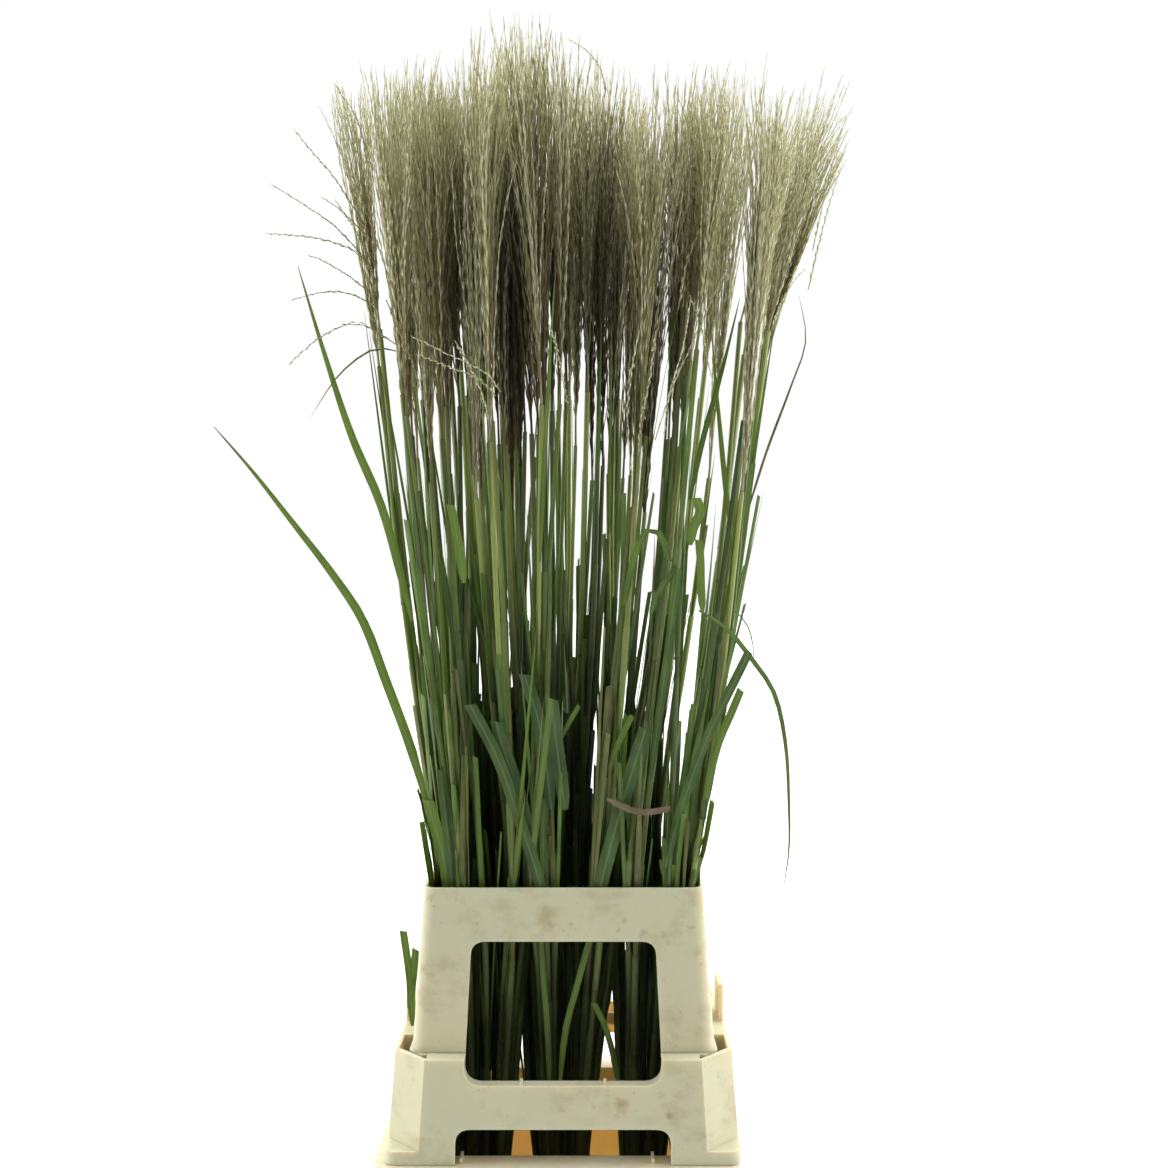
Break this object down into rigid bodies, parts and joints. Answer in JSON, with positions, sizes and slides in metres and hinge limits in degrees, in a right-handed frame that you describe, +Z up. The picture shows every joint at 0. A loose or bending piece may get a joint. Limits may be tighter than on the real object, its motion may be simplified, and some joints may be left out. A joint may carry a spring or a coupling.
{
  "type": "bucket of cut silver grass",
  "caption": "Tall cut Chinese silver grass with feathery plumes and narrow leaves, standing in a plastic bucket with two stacked open-windowed collars.",
  "frame": {"origin": "on the ground under the middle of the collars, 6 mm from the middle of the bucket's underside", "axes": "+Z up along the stems; the front with the pictured windows faces -Y; +X to the right seen from the front"},
  "size_m": [0.6694, 0.3, 1.53],
  "materials": {
    "bucket_plastic": "pale cream moulded plastic, scuffed satin",
    "collar_plastic": "cream moulded plastic, satin, with olive and grey dirt",
    "band_rubber": "matt tan rubber",
    "stem": "green cane with lighter sheaths, satin",
    "plume": "buff-green seed branches with silky hairs, matt",
    "leaf_green": "green blade with a pale midrib, satin",
    "leaf_dry": "dry tan blade, matt"
  },
  "bodies": {
    "root": {"band_left": "band_rubber", "band_middle": "band_rubber", "band_right": "band_rubber", "bucket": "bucket_plastic", "leaf_arching": "leaf_green", "leaf_bright": "leaf_green", "leaf_cut_right": "leaf_green", "leaf_dry": "leaf_dry", "leaf_far_left": "leaf_green", "leaf_front_left": "leaf_green", "leaf_front_right": "leaf_green", "leaf_left": "leaf_green", "leaf_looped": "leaf_green", "leaf_right_wisp": "leaf_dry", "leaf_side_stub": "leaf_green", "leaf_square_cut_left": "leaf_green", "leaf_square_cut_right": "leaf_green", "lower_collar": "collar_plastic", "plume_01": "plume", "plume_02": "plume", "plume_03": "plume", "plume_04": "plume", "plume_05": "plume", "plume_06": "plume", "plume_07": "plume", "plume_08": "plume", "plume_09": "plume", "plume_10": "plume", "plume_11": "plume", "plume_12": "plume", "plume_13": "plume", "plume_14": "plume", "plume_15": "plume", "plume_16": "plume", "plume_17": "plume", "plume_18": "plume", "plume_19": "plume", "plume_20": "plume", "stem_01": "stem", "stem_02": "stem", "stem_03": "stem", "stem_04": "stem", "stem_05": "stem", "stem_06": "stem", "stem_07": "stem", "stem_08": "stem", "stem_09": "stem", "stem_10": "stem", "stem_11": "stem", "stem_12": "stem", "stem_13": "stem", "stem_14": "stem", "stem_15": "stem", "stem_16": "stem", "stem_17": "stem", "stem_18": "stem", "stem_19": "stem", "stem_20": "stem", "upper_collar": "collar_plastic"}
  },
  "joints": []
}
